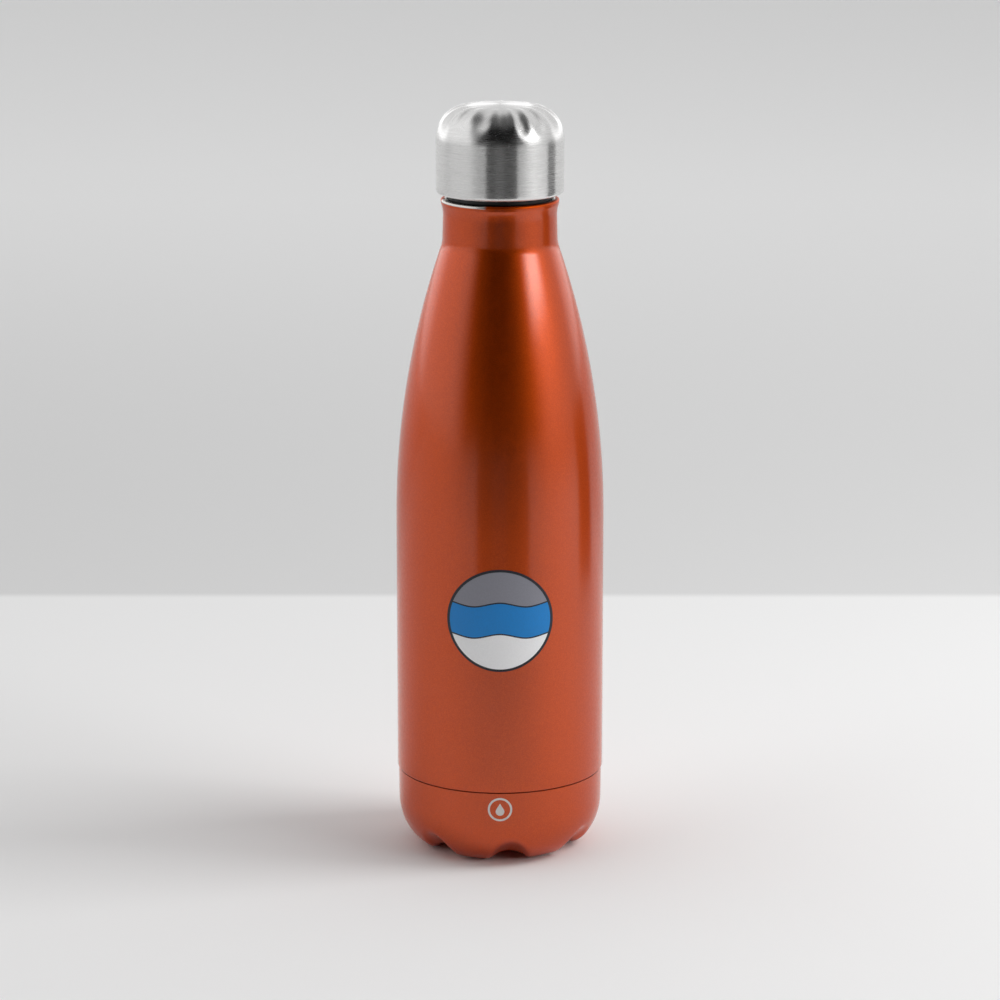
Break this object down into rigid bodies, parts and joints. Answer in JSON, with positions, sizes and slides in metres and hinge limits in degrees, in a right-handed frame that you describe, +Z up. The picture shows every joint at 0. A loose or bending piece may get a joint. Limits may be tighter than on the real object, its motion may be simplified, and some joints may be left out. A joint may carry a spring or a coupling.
{
  "type": "insulated water bottle",
  "caption": "Slim double-wall vacuum water bottle with a tapered shoulder, a screw-in domed cap and a footed cup round its base.",
  "frame": {"origin": "on the floor under the middle of the base", "axes": "+Z up along the bottle's axis, from the feet to the cap; the printed front faces -Y"},
  "size_m": [0.072, 0.0721, 0.2605],
  "materials": {
    "copper_paint": "satin",
    "bare_steel": "satin",
    "brushed_steel": "satin",
    "copper_foil": "polished",
    "adhesive": "satin",
    "solder_glass": "gloss",
    "getter_metal": "matte",
    "dark_ink": "satin",
    "grey_ink": "satin",
    "blue_ink": "satin",
    "white_ink": "satin",
    "pale_ink": "satin",
    "black_plastic": "satin",
    "foam": "matte",
    "black_silicone": "satin"
  },
  "bodies": {
    "bottle": {"outer_shell": "copper_paint", "base_cup": "copper_paint", "base_bond_ring": "adhesive", "outer_bottom": "bare_steel", "vacuum_seal_bead": "solder_glass", "getter_clip": "bare_steel", "getter_pill": "getter_metal", "liner": "bare_steel", "liner_bottom": "bare_steel", "copper_wrap": "copper_foil", "copper_base_foil": "copper_foil", "print_backing": "dark_ink", "print_sky": "grey_ink", "print_water": "blue_ink", "print_shore": "white_ink", "print_drop": "pale_ink"},
    "seal": {"seal_ring": "black_silicone"},
    "cap": {"cap_shell": "brushed_steel", "cap_carrier": "black_plastic", "plug_body": "black_plastic", "plug_lid": "black_plastic", "plug_foam": "foam"}
  },
  "joints": [
    {"name": "cap_lift", "type": "slide", "parent": "bottle", "child": "seal", "axis": [0, 0, 1], "range_m": [0, 0.06]},
    {"name": "cap_turn", "type": "hinge", "parent": "seal", "child": "cap", "pos_m": [0, 0, 0.2304], "axis": [0, 0, 1], "range_deg": [0, 2700]}
  ],
  "couplings": [
    {"joint": "cap_lift", "follows": "cap_turn", "m_per_rad": 0.0012732}
  ]
}
